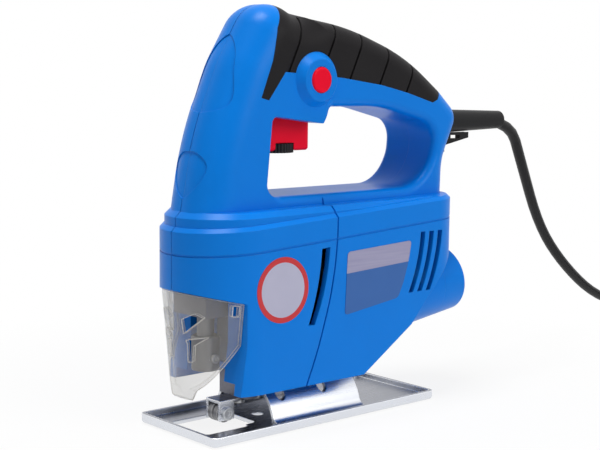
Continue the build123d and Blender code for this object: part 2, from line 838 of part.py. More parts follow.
def make_clamp_screws():
    screws = []
    head_bottom = plate_bottom - clamp_head_height
    for x in clamp_screw_places:
        screw = rod_z(clamp_screw_radius, plate_bottom, cavity_floor, x, 0)
        screw += rod_z(clamp_head_radius, head_bottom, plate_bottom, x, 0)
        socket = extrude(RegularPolygon(clamp_screw_radius, 6), clamp_head_height / 2)
        screws.append(screw - Pos(x, 0, head_bottom) * socket)
    return Compound(screws)


def make_roller():
    roller = rod_y(roller_radius, -roller_half, roller_half, roller_x, roller_z)
    ring = Pos(roller_radius, 0) * RegularPolygon(2 * roller_groove, 3, rotation=180)
    groove = revolve(Plane.XZ * ring, Axis.Z)
    roller -= Pos(roller_x, 0, roller_z) * Rot(90, 0, 0) * groove
    return roller - rod_y(roller_pin_radius + running_gap, -50, 50, roller_x, roller_z)


def make_roller_pin():
    pin = rod_y(roller_pin_radius, -fork_outer, fork_outer, roller_x, roller_z)
    head = rod_y(2 * roller_pin_radius, -fork_outer - 1.6, -fork_outer, roller_x, roller_z)
    socket = extrude(Plane.XZ * RegularPolygon(roller_pin_radius, 6), 1.0)
    return pin + head - Pos(roller_x, -fork_outer - 0.7, roller_z) * socket


def make_bracket():
    low = roller_z - roller_radius + fork_sheet
    front = roller_x - fork_half_length
    rear = roller_x + fork_half_length
    fork = block(front, rear, -fork_outer, fork_outer, low, strap_top)
    fork -= block(front - 1, rear + 1, -fork_inner, fork_inner, 0, strap_bottom)
    strap_rear = saddle_front - touch_gap
    strap = block(roller_x, strap_rear, -fork_outer, fork_outer, strap_bottom, strap_top)
    bracket = fork + strap - rod_z(seat_screw_radius + fit_gap, 0, 50, seat_screw_x, 0)
    return bracket - rod_y(roller_pin_radius, -50, 50, roller_x, roller_z)


# Motor
def make_shaft():
    shaft = rod_x(shaft_radius, case_wall_front, shaft_rear, 0, motor_z)
    return shaft + rod_x(pinion_bore, shaft_front, case_wall_front + 1, 0, motor_z)


def make_bearing(front):
    bearing = rod_x(bearing_radius, front, front + bearing_width, 0, motor_z)
    for face_x in (front, front + bearing_width):
        ring = rod_x(0.8 * bearing_radius, face_x - 0.4, face_x + 0.4, 0, motor_z)
        bearing -= ring - rod_x(0.5 * bearing_radius, face_x - 1, face_x + 1, 0, motor_z)
    return bearing - rod_x(shaft_radius + running_gap, front - 1, front + bearing_width + 1, 0, motor_z)


def make_armature_core():
    rear = core_front + core_length
    core = rod_x(core_radius, core_front, rear, 0, motor_z)
    for number in range(12):
        turn = Rot(30 * number, 0, 0)
        slot = Box(core_length + 2, 1.6, 3.0)
        core -= Pos(core_front + core_length / 2, 0, motor_z) * turn * Pos(0, 0, core_radius - 1) * slot
    return core - rod_x(shaft_radius, core_front - 1, rear + 1, 0, motor_z)


def make_armature_windings():
    rear = core_front + core_length
    ends = []
    for x in (core_front - armature_coil_length, rear):
        end = rod_x(armature_coil_radius, x, x + armature_coil_length, 0, motor_z)
        end = fillet(end.edges().filter_by(GeomType.CIRCLE), 2.0)
        ends.append(end - rod_x(shaft_radius, x - 1, x + armature_coil_length + 1, 0, motor_z))
    return Compound(ends)


def make_commutator():
    rear = commutator_front + commutator_length
    drum = rod_x(commutator_radius, commutator_front, rear, 0, motor_z)
    for number in range(24):
        cut = Pos(0, 0, commutator_radius) * Box(commutator_length + 2, 0.4, 0.8)
        drum -= Pos(commutator_front + commutator_length / 2, 0, motor_z) * Rot(15 * number, 0, 0) * cut
    return drum - rod_x(shaft_radius, commutator_front - 1, rear + 1, 0, motor_z)


def make_fan():
    rear = fan_front + fan_length
    fan = rod_x(fan_radius, rear - 1.5, rear, 0, motor_z)
    fan += rod_x(fan_hub, fan_front, rear, 0, motor_z)
    blade_height = fan_radius - fan_hub + 1
    for number in range(fan_blades):
        blade = Pos(0, 0, fan_hub - 1 + blade_height / 2) * Box(fan_length - 1, fan_blade_sheet, blade_height)
        turn = Rot(360 / fan_blades * number, 0, 0)
        fan += Pos((fan_front + rear) / 2, 0, motor_z) * turn * blade
    return fan - rod_x(shaft_radius, fan_front - 1, rear + 1, 0, motor_z)


def coil_slot_points():
    points = []
    for angle in (45, 135, 225, 315):
        turn = math.radians(angle)
        points.append((coil_circle * math.cos(turn), motor_z + coil_circle * math.sin(turn)))
    return points


def make_field_core():
    rear = core_front + core_length
    core = rod_x(field_radius, core_front, rear, 0, motor_z)
    core -= rod_x(core_radius + air_gap, core_front - 1, rear + 1, 0, motor_z)
    for y, z in coil_slot_points():
        core -= rod_x(coil_radius + fit_gap, core_front - 1, rear + 1, y, z)
    return core


def make_field_coils():
    rear = core_front + core_length
    ends = (core_front - coil_overhang + coil_radius / 2, rear + coil_overhang - coil_radius / 2)
    points = coil_slot_points()
    coils = []
    for first in (0, 2):
        coil = None
        for y, z in points[first:first + 2]:
            run = rod_x(coil_radius, ends[0], ends[1], y, z)
            coil = run if coil is None else coil + run
        start = 45 + 90 * first
        for x in ends:
            section = Plane.XZ * (Pos(x, coil_circle) * Circle(coil_radius))
            arc = revolve(section, Axis.X, 90)
            coil += Pos(0, 0, motor_z) * Rot(start - 90, 0, 0) * arc
        coils.append(coil)
    return Compound(coils)


def brush_box(side, inner, outer, half, x):
    y0, y1 = sorted((side * inner, side * outer))
    return block(x - half, x + half, y0, y1, motor_z - half, motor_z + half)


def make_brushes():
    x = commutator_front + commutator_length / 2
    inner = commutator_radius + fit_gap
    sides = []
    for side in (-1, 1):
        sides.append(brush_box(side, inner, inner + brush_length, brush_width / 2, x))
    return Compound(sides)


def make_brush_holders():
    x = commutator_front + commutator_length / 2
    outer = body_half - wall - fit_gap
    sides = []
    for side in (-1, 1):
        half = brush_width / 2
        tube = brush_box(side, commutator_radius + 2, outer, half + brush_tube_wall, x)
        inner = commutator_radius
        sides.append(tube - brush_box(side, inner, outer - brush_tube_wall, half + 0.05, x))
    return Compound(sides)


def make_baffle():
    rear = baffle_front + baffle_sheet
    plate = rod_x(body_half - wall - fit_gap, baffle_front, rear, 0, motor_z)
    return plate - rod_x(field_radius - 5, baffle_front - 1, rear + 1, 0, motor_z)


# Gears
def gear_face(teeth, tooth_angle):
    pitch = gear_module * teeth / 2
    base = pitch * math.cos(math.radians(pressure_angle))
    tip = pitch + 0.75 * gear_module
    root = pitch - gear_module
    half_pitch = math.pi / (2 * teeth) - tooth_backlash / (2 * pitch)
    start_turn = math.tan(math.radians(pressure_angle)) - math.radians(pressure_angle)
    flank_start = max(base, root)
    flank = []
    for step in range(4):
        radius = flank_start + (tip - flank_start) * step / 3
        angle = math.acos(min(1.0, base / radius))
        flank.append((radius, half_pitch + start_turn - math.tan(angle) + angle))
    points = []
    for number in range(teeth):
        middle = math.radians(tooth_angle) + 2 * math.pi * number / teeth
        low = (root, flank[0][1])
        for radius, turn in [low] + flank:
            points.append((radius * math.cos(middle - turn), radius * math.sin(middle - turn)))
        for radius, turn in flank[::-1] + [low]:
            points.append((radius * math.cos(middle + turn), radius * math.sin(middle + turn)))
    clean = [points[0]]
    for point in points[1:]:
        if math.dist(point, clean[-1]) > 1e-4:
            clean.append(point)
    return polygon(clean)


def gear_solid(teeth, tooth_angle, front, length, z):
    return Pos(front, 0, z) * extrude(Plane.YZ * gear_face(teeth, tooth_angle), length)


def make_pinion():
    front = gear_front - gear_end_gap
    pinion = gear_solid(pinion_teeth, 90 + 180 / pinion_teeth, front, gear_width + 2 * gear_end_gap, motor_z)
    return pinion - rod_x(pinion_bore, front - 1, case_wall_front, 0, motor_z)


def make_drive_gear():
    rear = gear_front + gear_width
    gear = gear_solid(gear_teeth, 270, gear_front, gear_width, gear_axle_z)
    gear -= rod_x(gear_axle_radius + running_gap, gear_front - 1, rear + 1, 0, gear_axle_z)
    pin_rear = gear_front + crank_pin_grip
    return gear - rod_x(crank_pin_radius, gear_front - 1, pin_rear, crank_radius, gear_axle_z)


def make_crank_pin():
    rear = gear_front + crank_pin_grip
    return rod_x(crank_pin_radius, crank_roller_front, rear, crank_radius, gear_axle_z)


def make_crank_roller():
    roller = rod_x(crank_roller_radius, crank_roller_front, crank_roller_rear, crank_radius, gear_axle_z)
    return roller - rod_x(crank_pin_radius, crank_roller_front - 1, gear_front, crank_radius, gear_axle_z)


def make_gear_axle():
    return rod_x(gear_axle_radius, gear_front - gear_end_gap, case_rear, 0, gear_axle_z)


def make_gear_case():
    case = body_form(wall + fit_gap)
    case &= block(case_wall_front, case_rear, -body_half, body_half, cavity_floor, body_top)
    case += block(shelf_front, case_rear, -shelf_half, shelf_half, shelf_bottom, shelf_top)
    case += block(seat_front, case_rear, -shelf_half, shelf_half, cavity_floor, shelf_bottom)
    case -= rod_z(plunger_radius + bush_wall, 0, 100, plunger_x, 0)
    case -= rod_x(bearing_radius, case_wall_front, case_rear + 1, 0, motor_z)
    case -= rod_x(gear_axle_radius, case_wall_front - 1, case_rear + 1, 0, gear_axle_z)
    case -= rod_x(pinion_clear, shaft_front - touch_gap, case_wall_front, 0, motor_z)
    return case - rod_z(seat_screw_radius, 0, cavity_floor + 9, seat_screw_x, 0)


def make_bush(z0, z1):
    bush = rod_z(plunger_radius + bush_wall, z0, z1, plunger_x, 0)
    return bush - rod_z(plunger_radius + running_gap, z0 - 1, z1 + 1, plunger_x, 0)


# Plunger and blade clamp
def make_plunger():
    rod = rod_z(plunger_radius, plunger_bottom, plunger_top, plunger_x, 0)
    front = plunger_x - plunger_radius / 2
    low = gear_axle_z - yoke_reach
    yoke = block(front, yoke_rear, -yoke_half, yoke_half, low, gear_axle_z + yoke_reach)
    slot = block(
        yoke_rear - yoke_slot_depth, 0, -yoke_slot_half, yoke_slot_half,
        gear_axle_z - yoke_slot_height, gear_axle_z + yoke_slot_height,
    )
    return rod + yoke - slot


def make_blade_clamp():
    top = plunger_bottom + clamp_grip
    clamp = rod_z(clamp_block_radius, clamp_block_bottom, top, plunger_x, 0)
    clamp = fillet(clamp.edges().filter_by(GeomType.CIRCLE), 0.8)
    clamp -= rod_z(plunger_radius, plunger_bottom, top + 1, plunger_x, 0)
    half = blade_slot_width / 2
    clamp -= block(
        plunger_x - half, plunger_x + half, -blade_slot / 2, blade_slot / 2,
        clamp_block_bottom - 1, clamp_block_bottom + blade_slot_depth,
    )
    hole_z = clamp_block_bottom + clamp_set_screw_rise
    return clamp - rod_y(clamp_set_screw_radius, -20, -blade_slot / 2, plunger_x, hole_z)


def make_clamp_set_screw():
    z = clamp_block_bottom + clamp_set_screw_rise
    outer = clamp_block_radius + 1.5
    screw = rod_y(clamp_set_screw_radius, -outer, -blade_slot / 2 - fit_gap, plunger_x, z)
    socket = extrude(Plane.XZ * RegularPolygon(0.6 * clamp_set_screw_radius, 6), 2)
    return screw - Pos(plunger_x, -outer + 1.5, z) * socket


# Trigger, dial, button and switch
def make_trigger():
    body = block(trigger_front, trigger_rear, -trigger_half, trigger_half, trigger_bottom, trigger_top)
    body = fillet(body.edges().filter_by(Axis.Z), 2.5)
    low = body.faces().sort_by(Axis.Z)[0]
    body = fillet(low.edges(), 1.5)
    dial_top = trigger_bottom + dial_height + touch_gap - dial_drop
    body -= rod_z(dial_radius + touch_gap, trigger_bottom - 5, dial_top, dial_x, 0)
    pin_top = trigger_bottom + dial_height + dial_pin_height
    body -= rod_z(dial_pin_radius + running_gap, trigger_bottom, pin_top + touch_gap, dial_x, 0)
    return body + block(
        stem_x - stem_half, stem_x + stem_half, -stem_half, stem_half,
        trigger_top - 1, trigger_top + stem_height,
    )


def make_dial():
    low = trigger_bottom - dial_drop
    dial = rod_z(dial_radius, low, low + dial_height, dial_x, 0)
    for number in range(dial_ribs):
        turn = 2 * math.pi * number / dial_ribs
        x = dial_x + dial_radius * math.cos(turn)
        dial -= rod_z(0.5, low - 1, low + dial_height + 1, x, dial_radius * math.sin(turn))
    return dial + rod_z(dial_pin_radius, low + 1, low + dial_height + dial_pin_height, dial_x, 0)


def make_button():
    button = rod_y(button_radius, -button_out, -handle_cavity_half, button_x, button_z)
    face = button.edges().filter_by(GeomType.CIRCLE).sort_by(Axis.Y)[0]
    button = fillet(face, 1.2)
    button += rod_y(button_radius, -handle_cavity_half - 1, -flange_outer + 0.5, button_x, button_z)
    return button + rod_y(button_radius + 1, -flange_outer, button_flange - flange_outer, button_x, button_z)


def make_switch():
    low = trigger_top + trigger_travel + touch_gap
    body = block(switch_front, switch_rear, -switch_half, switch_half, low, switch_top)
    body = fillet(body.edges().filter_by(Axis.Y), 1.5)
    gap = stem_half + touch_gap
    top = trigger_top + stem_height + trigger_travel + touch_gap
    return body - block(stem_x - gap, stem_x + gap, -gap, gap, low - 1, top)


def make_capacitor():
    front = switch_rear + touch_gap
    body = block(
        front, front + capacitor_length, -capacitor_half, capacitor_half, capacitor_bottom, capacitor_top,
    )
    return fillet(body.edges(), 1.0)


# Cord sleeve, clamp, key holder
def make_sleeve():
    taper = revolve(Plane.XZ * polygon((
        (sleeve_inner, 0), (sleeve_inner, sleeve_root_radius), (sleeve_root + 4, sleeve_root_radius),
        (sleeve_end, sleeve_end_radius), (sleeve_end, 0),
    )), Axis.X)
    flange = rod_x(sleeve_flange_radius, sleeve_inner - sleeve_flange, sleeve_inner, 0, 0)
    sleeve = taper + flange + rod_x(cord_radius, cord_stub_front, sleeve_inner, 0, 0)
    socket = cord_route[0][0]
    sleeve -= rod_x(cord_radius + fit_gap, socket, sleeve_end + 1, 0, 0)
    mouth = Pos(sleeve_end - 3, 0, 0) * Rot(0, 90, 0) * Cone(cord_radius, sleeve_end_radius - 0.3, 8)
    return Pos(0, 0, sleeve_z) * (sleeve - mouth)


def make_cord_clamp():
    low = sleeve_z + 0.6 * cord_radius
    rear = clamp_bar_front + clamp_bar_length
    bar = block(clamp_bar_front, rear, -clamp_bar_half, clamp_bar_half, low, low + clamp_bar_height)
    bar -= rod_x(cord_radius, 0, 200, 0, sleeve_z)
    for side in (-1, 1):
        bar -= rod_z(clamp_bar_screw_radius + fit_gap, 0, 200, clamp_screw_x, side * clamp_bar_screw)
    return bar


def make_clamp_bar_screws():
    top = sleeve_z + 0.6 * cord_radius + clamp_bar_height
    screws = []
    for side in (-1, 1):
        y = side * clamp_bar_screw
        screw = rod_z(clamp_bar_screw_radius, sleeve_z - 13, top, clamp_screw_x, y)
        screw += rod_z(2 * clamp_bar_screw_radius, top, top + 1.8, clamp_screw_x, y)
        screws.append(screw - block(clamp_screw_x - 5, clamp_screw_x + 5, y - 0.4, y + 0.4, top + 1, top + 3))
    return Compound(screws)


def make_key_holder():
    rear, root = key_under[0][0], key_under[-1][0]
    holder = side_prism(polygon(((root, key_top), (rear, key_top), *key_under)), -key_half, key_half)
    holder -= rod_x(sleeve_root_radius + fit_gap, root - 1, rear + 1, 0, sleeve_z)
    for front, back, low in key_windows:
        holder -= block(front, back, -10, 10, low, key_window_top)
    holder += rod_z(key_knob_radius, key_knob_low, key_under[1][1], key_knob_x, 0)
    return max((holder - handle_form(0)).solids(), key=lambda solid: solid.volume)


# Cord
def route_radii(points, share):
    radii = []
    for before, corner, after in zip(points, points[1:], points[2:]):
        first = Vector(*corner) - Vector(*before)
        second = Vector(*after) - Vector(*corner)
        half_turn = math.radians(first.get_angle(second)) / 2
        radii.append(share * min(first.length, second.length) / math.tan(half_turn))
    return radii


def make_cord_run():
    radii = route_radii(cord_route, 0.45)
    print("cord arc radii", [round(radius, 1) for radius in radii])
    path = FilletPolyline(*cord_route, radius=radii)
    start = Plane(path @ 0, z_dir=path % 0)
    tube = sweep(start * Circle(cord_radius), path=path)
    print("cord run length", round(path.length, 1), "volume ratio",
          round(tube.volume / (math.pi * cord_radius ** 2 * path.length), 4))
    return tube


def coil_point(side, height):
    return Vector(coil_centre_x, coil_centre_y + side, height)


def half_turn(start, end, height_start, height_end, ahead):
    first = coil_point(start, height_start)
    last = coil_point(end, height_end)
    middle = (first + last) * 0.5 + Vector(ahead * (last - first).length / 2, 0, 0)
    return ThreePointArc(first, middle, last)


def make_coil():
    lead = 2 * cord_radius
    right = [coil_outer - coil_pitch * number for number in range(coil_turns + 1)]
    left = [coil_pitch / 2 - side for side in right]
    entry = coil_point(right[0], coil_z)
    runs = [Line(entry - Vector(lead, 0, 0), entry)]
    for number in range(coil_turns):
        runs.append(half_turn(right[number], left[number], coil_z, coil_z, 1))
        runs.append(half_turn(left[number], right[number + 1], coil_z, coil_z, -1))
    runs.append(half_turn(right[coil_turns], left[coil_turns], coil_z, coil_top_z, 1))
    for number in range(coil_turns, 0, -1):
        runs.append(half_turn(left[number], right[number - 1], coil_top_z, coil_top_z, -1))
        runs.append(half_turn(right[number - 1], left[number - 1], coil_top_z, coil_top_z, 1))
    leave = coil_point(left[0], coil_top_z)
    runs.append(Line(leave, leave - Vector(coil_outer, 0, 0)))
    path = Wire(runs)
    tube = sweep(Plane(entry - Vector(lead, 0, 0), z_dir=(1, 0, 0)) * Circle(cord_radius), path=path)
    print("coil length", round(path.length, 1), "volume ratio",
          round(tube.volume / (math.pi * cord_radius ** 2 * path.length), 4))
    print("coil least gap", round(least_gap(runs), 2))
    return tube


def least_gap(runs):
    samples = []
    travelled = 0.0
    for run in runs:
        count = max(2, int(run.length / 2.5))
        for step in range(count):
            samples.append((travelled + run.length * step / count, run.position_at(step / count)))
        travelled += run.length
    least = 1e9
    for number, (place, point) in enumerate(samples):
        for other_place, other in samples[number + 1:]:
            if other_place - place > 8 * cord_radius:
                least = min(least, (point - other).length)
    return least - 2 * cord_radius


def make_tie():
    inner = coil_outer - coil_pitch * coil_turns - cord_radius - coil_pitch / 2 - 0.5
    outer = coil_outer + cord_radius + 0.5
    top = coil_top_z + cord_radius + 0.4
    base = coil_z - cord_radius - 0.4
    half = tie_width / 2
    x = coil_centre_x
    y0 = coil_centre_y - outer + coil_pitch / 2
    y1 = coil_centre_y - inner
    band = block(x - half, x + half, y0 - tie_sheet, y1 + tie_sheet, base - tie_sheet + 0.1, top + tie_sheet)
    band = fillet(band.edges().filter_by(Axis.X), 2.5)
    return band - fillet(block(x - 50, x + 50, y0, y1, base, top).edges().filter_by(Axis.X), 1.5)


def make_plug():
    neck_front = plug_rear - plug_neck
    front = neck_front - plug_length
    neck = rod_x(plug_neck_radius, neck_front - 1, plug_rear, plug_y, coil_top_z)
    half = plug_width / 2
    z0 = coil_top_z - plug_height / 2
    body = block(front, neck_front, plug_y - half, plug_y + half, z0, z0 + plug_height)
    body = fillet(body.edges().filter_by(Axis.X), 7)
    body = fillet(body.faces().sort_by(Axis.X)[-1].edges(), 5)
    for number in range(3):
        x = plug_rear - 3 - 3 * number
        neck -= rod_x(10, x, x + 1.2, plug_y, coil_top_z) - rod_x(
            plug_neck_radius - 1, x - 1, x + 3, plug_y, coil_top_z)
    plug = body + neck
    for side in (-1, 1):
        plug -= rod_x(pin_radius, front - 1, front + 6, plug_y + side * pin_spread / 2, coil_top_z)
    return plug


def make_plug_pins():
    front = plug_rear - plug_neck - plug_length
    pins = []
    for side in (-1, 1):
        y = plug_y + side * pin_spread / 2
        pin = rod_x(pin_radius, front - pin_length, front + 6, y, coil_top_z)
        tip = pin.edges().filter_by(GeomType.CIRCLE).sort_by(Axis.X)[0]
        pins.append(fillet(tip, 1.2))
    return Compound(pins)


os.makedirs("parts", exist_ok=True)
grip_skin_form = grip_blank()
left_housing, right_housing = make_housing(grip_skin_form)
write("left_housing", left_housing)
write("right_housing", right_housing)
write("grip_cover", make_grip(grip_skin_form))
write("housing_screws", make_housing_screws())
write("blade_guard", make_guard())
write("dust_port", make_port())
write("shoe", make_shoe())
write("saddle", make_saddle())
write("bevel_seat", make_seat())
write("seat_screw", make_seat_screw())
write("clamp_plate", make_clamp_plate())
write("clamp_screws", make_clamp_screws())
write("guide_roller", make_roller())
write("roller_pin", make_roller_pin())
write("roller_bracket", make_bracket())
write("armature_shaft", make_shaft())
write("armature_core", make_armature_core())
write("armature_windings", make_armature_windings())
write("commutator", make_commutator())
write("cooling_fan", make_fan())
write("pinion", make_pinion())
write("front_bearing", make_bearing(case_wall_front))
write("rear_bearing", make_bearing(rear_bearing_x))
write("field_core", make_field_core())
write("field_coils", make_field_coils())
write("carbon_brushes", make_brushes())
write("brush_holders", make_brush_holders())
write("fan_baffle", make_baffle())
write("gear_case", make_gear_case())
write("gear_axle", make_gear_axle())
write("drive_gear", make_drive_gear())
write("crank_pin", make_crank_pin())
write("crank_roller", make_crank_roller())
write("upper_bush", make_bush(bush_web_bottom, bush_web_top))
write("lower_bush", make_bush(shelf_bottom, shelf_top))
write("plunger", make_plunger())
write("blade_clamp", make_blade_clamp())
write("blade_clamp_screw", make_clamp_set_screw())
write("trigger", make_trigger())
write("speed_dial", make_dial())
write("lock_button", make_button())
write("switch_module", make_switch())
write("capacitor", make_capacitor())
write("cord_sleeve", make_sleeve())
write("cord_clamp", make_cord_clamp())
write("cord_clamp_screws", make_clamp_bar_screws())
write("key_holder", make_key_holder())
write("cord_run", make_cord_run())
write("cord_coil", make_coil())
write("cord_tie", make_tie())
write("plug", make_plug())
write("plug_pins", make_plug_pins())
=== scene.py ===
import math
import bmesh
import bpy
from mathutils import Matrix, Vector


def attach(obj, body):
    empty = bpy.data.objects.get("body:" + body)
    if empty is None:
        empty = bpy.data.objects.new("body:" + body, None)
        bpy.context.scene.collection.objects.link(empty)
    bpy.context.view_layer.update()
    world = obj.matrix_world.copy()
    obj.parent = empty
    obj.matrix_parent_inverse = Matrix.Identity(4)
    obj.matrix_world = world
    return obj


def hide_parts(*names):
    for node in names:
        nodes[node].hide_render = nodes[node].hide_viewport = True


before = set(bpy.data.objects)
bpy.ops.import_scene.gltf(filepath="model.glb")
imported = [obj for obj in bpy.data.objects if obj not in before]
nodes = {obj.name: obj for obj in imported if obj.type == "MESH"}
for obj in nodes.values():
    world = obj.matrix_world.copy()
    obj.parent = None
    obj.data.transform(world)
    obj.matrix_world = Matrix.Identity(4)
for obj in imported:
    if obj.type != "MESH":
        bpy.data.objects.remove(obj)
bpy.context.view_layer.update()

mm = 0.001
print("frame loaded with", len(nodes), "nodes")


# Shader maths: a wrapped socket, so that values are written as expressions
class Wire:
    def __init__(self, tree, socket):
        self.tree = tree
        self.socket = socket

    def maths(self, operation, first, second):
        node = self.tree.nodes.new("ShaderNodeMath")
        node.operation = operation
        plugIn(self.tree, node.inputs[0], first)
        plugIn(self.tree, node.inputs[1], second)
        return Wire(self.tree, node.outputs[0])

    def __add__(self, other):
        return self.maths("ADD", self, other)

    def __radd__(self, other):
        return self.maths("ADD", other, self)

    def __sub__(self, other):
        return self.maths("SUBTRACT", self, other)

    def __rsub__(self, other):
        return self.maths("SUBTRACT", other, self)

    def __mul__(self, other):
        return self.maths("MULTIPLY", self, other)

    def __rmul__(self, other):
        return self.maths("MULTIPLY", other, self)

    def __truediv__(self, other):
        return self.maths("DIVIDE", self, other)

    def __pow__(self, other):
        return self.maths("POWER", self, other)

    def __gt__(self, other):
        return self.maths("GREATER_THAN", self, other)

    def __lt__(self, other):
        return self.maths("LESS_THAN", self, other)


def plugIn(tree, place, value):
    if isinstance(value, Wire):
        tree.links.new(value.socket, place)
    else:
        place.default_value = value


# One finish: a material with its node tree
class Finish:
    def __init__(self, name):
        self.material = bpy.data.materials.new(name)
        self.material.use_nodes = True
        self.tree = self.material.node_tree
        self.tree.nodes.clear()
        self.place = self.add("ShaderNodeTexCoord", out="Object")

    def add(self, kind, settings=None, sockets=None, out=0):
        node = self.tree.nodes.new(kind)
        for key, value in (settings or {}).items():
            setattr(node, key, value)
        for key, value in (sockets or {}).items():
            plugIn(self.tree, node.inputs[key], value)
        return Wire(self.tree, node.outputs[out])

    def noise(self, scale, detail=2.0, stretch=None):
        place = self.place
        if stretch:
            place = self.add("ShaderNodeMapping", None, {"Vector": place, "Scale": stretch})
        return self.add("ShaderNodeTexNoise", None, {"Vector": place, "Scale": scale, "Detail": detail})

    def mix(self, mask, first, second):
        return self.add("ShaderNodeMix", {"data_type": "RGBA"}, {0: mask, 6: first, 7: second}, 2)

    def bump(self, height, distance, under=None):
        sockets = {"Height": height, "Distance": distance}
        if under:
            sockets["Normal"] = under
        return self.add("ShaderNodeBump", None, sockets)

    def softEdge(self, radius):
        return self.add("ShaderNodeBevel", {"samples": 6}, {"Radius": radius})

    def edgeMask(self, rounded, gain):
        flat = self.add("ShaderNodeNewGeometry", out="Normal")
        ends = {0: rounded, 1: flat}
        same = self.add("ShaderNodeVectorMath", {"operation": "DOT_PRODUCT"}, ends, "Value")
        return self.clamp((1.0 - same) * gain)

    # Upward part of the normal, used for the painted shade on brushed steel
    def faceUp(self):
        facing = self.add("ShaderNodeTexCoord", out="Normal")
        return self.add("ShaderNodeSeparateXYZ", None, {0: facing}, "Z")

    def clamp(self, value):
        return self.add("ShaderNodeClamp", None, {"Value": value})

    def axis(self, name):
        return self.add("ShaderNodeSeparateXYZ", None, {0: self.place}, name)

    def principled(self, sockets):
        return self.add("ShaderNodeBsdfPrincipled", None, sockets)

    def done(self, surface):
        output = self.tree.nodes.new("ShaderNodeOutputMaterial")
        plugIn(self.tree, output.inputs["Surface"], surface)
        return self.material


def colour(red, green, blue):
    return (red, green, blue, 1.0)


# Finishes: colours are linear, radii and depths in metres
plasticSettings = {
    "bluePlastic": {
        "base": (0.0, 0.185, 0.680), "shade": (0.0, 0.200, 0.725),
        "rough": 0.33, "gloss": 0.12,
    },
    "redPlastic": {
        "base": (0.800, 0.0, 0.020), "shade": (0.860, 0.001, 0.026),
        "rough": 0.32, "gloss": 0.10,
    },
    "blackPlastic": {
        "base": (0.008, 0.008, 0.009), "shade": (0.014, 0.014, 0.015),
        "rough": 0.45, "gloss": 0.2,
    },
    "yellowPlastic": {
        "base": (0.620, 0.380, 0.030), "shade": (0.70, 0.45, 0.05),
        "rough": 0.4, "gloss": 0.3,
    },
    "carbon": {
        "base": (0.018, 0.018, 0.020), "shade": (0.04, 0.04, 0.042),
        "rough": 0.60, "gloss": 0.20,
    },
    "edge": 0.0005, "grain": 0.00003, "scuff": 0.10, "scuffGain": 1.2, "paler": 0.25,
    "mottleNoise": (38.0, 3.0), "textureNoise": (2600.0, 1.0), "scuffNoise": (160.0, 2.0),
    "mottleRough": 0.10, "textureRough": 0.06, "roughDrop": 0.08,
}
rubberSettings = {
    "gripRubber": {
        "base": (0.007, 0.006, 0.007), "shade": (0.012, 0.011, 0.012),
        "rough": 0.48, "gloss": 0.1,
    },
    "cordRubber": {
        "base": (0.006, 0.006, 0.007), "shade": (0.010, 0.010, 0.011),
        "rough": 0.4, "gloss": 0.14,
    },
    "edge": 0.0006, "pore": 0.00006, "mottleNoise": (60.0, 3.0), "poreNoise": (1500.0, 2.0),
    "poreRough": 0.12, "mottleRough": 0.08, "roughDrop": 0.10,
}
steelSettings = {
    "zincSteel": {
        "base": (0.80, 0.82, 0.86), "shade": (0.68, 0.70, 0.75),
        "rough": 0.26, "brushed": True,
    },
    "screwSteel": {
        "base": (0.62, 0.63, 0.64), "shade": (0.48, 0.49, 0.50),
        "rough": 0.34, "brushed": False,
    },
    "darkSteel": {
        "base": (0.24, 0.24, 0.25), "shade": (0.16, 0.16, 0.17),
        "rough": 0.38, "brushed": True,
    },
    "brass": {
        "base": (0.74, 0.52, 0.20), "shade": (0.60, 0.42, 0.16),
        "rough": 0.34, "brushed": True,
    },
    # rounded edges turn towards a pale tone: edge wear and painted highlight
    "edge": 0.0008, "grain": 0.00004, "wearAndHighlightTone": (0.93, 0.94, 0.96), "wearAndHighlightGain": 5.0,
    # painted shade: a darker tone mixed onto faces that point up
    "upShadeTone": (0.20, 0.21, 0.26), "upShadeShare": 0.8, "upShadeFrom": 0.75,
    "cloudNoise": (24.0, 4.0), "scratchNoise": (420.0, 2.0), "brushStretch": (0.06, 1.0, 1.0),
    "cloudRough": 0.12, "scratchRough": 0.10, "roughDrop": 0.10, "cloudHeight": 2.0,
}
castSettings = {
    "bronze": {"base": (0.52, 0.34, 0.15), "shade": (0.42, 0.27, 0.12), "rough": 0.50},
    # cast aluminium colour darkened as painted shade, standing for the shade in the recess inside the nose
    "castAluminiumPaintedShade": {"base": (0.24, 0.24, 0.27), "shade": (0.17, 0.17, 0.20), "rough": 0.50},
    "grain": 0.0002, "lumpNoise": (700.0, 4.0), "cloudNoise": (50.0, 2.0),
    "lumpRough": 0.2, "roughDrop": 0.1,
}


def tone(finish, mask, settings):
    return finish.mix(mask, colour(*settings["base"]), colour(*settings["shade"]))


# Spark-eroded plastic with paler rubbed edges
def mouldedPlastic(name):
    settings = plasticSettings[name]
    finish = Finish(name)
    shared = plasticSettings
    mottle = finish.noise(*shared["mottleNoise"])
    texture = finish.noise(*shared["textureNoise"])
    rounded = finish.softEdge(shared["edge"])
    rubbed = finish.edgeMask(rounded, shared["scuffGain"]) * finish.noise(*shared["scuffNoise"])
    rubbed = rubbed * shared["scuff"]
    paler = shared["paler"]
    rough = settings["rough"] - shared["roughDrop"]
    pale = colour(*[(1.0 - paler) * part + paler for part in settings["base"]])
    return finish.done(finish.principled({
        "Base Color": finish.mix(rubbed, tone(finish, mottle, settings), pale),
        "Roughness": mottle * shared["mottleRough"] + texture * shared["textureRough"] + rough,
        "Normal": finish.bump(texture, shared["grain"], rounded),
        "Specular IOR Level": settings["gloss"],
    }))


def softRubber(name):
    settings = rubberSettings[name]
    finish = Finish(name)
    shared = rubberSettings
    mottle = finish.noise(*shared["mottleNoise"])
    pores = finish.noise(*shared["poreNoise"])
    rough = settings["rough"] - shared["roughDrop"]
    return finish.done(finish.principled({
        "Base Color": tone(finish, mottle, settings),
        "Roughness": pores * shared["poreRough"] + mottle * shared["mottleRough"] + rough,
        "Normal": finish.bump(pores, shared["pore"], finish.softEdge(shared["edge"])),
        "Specular IOR Level": settings["gloss"],
    }))
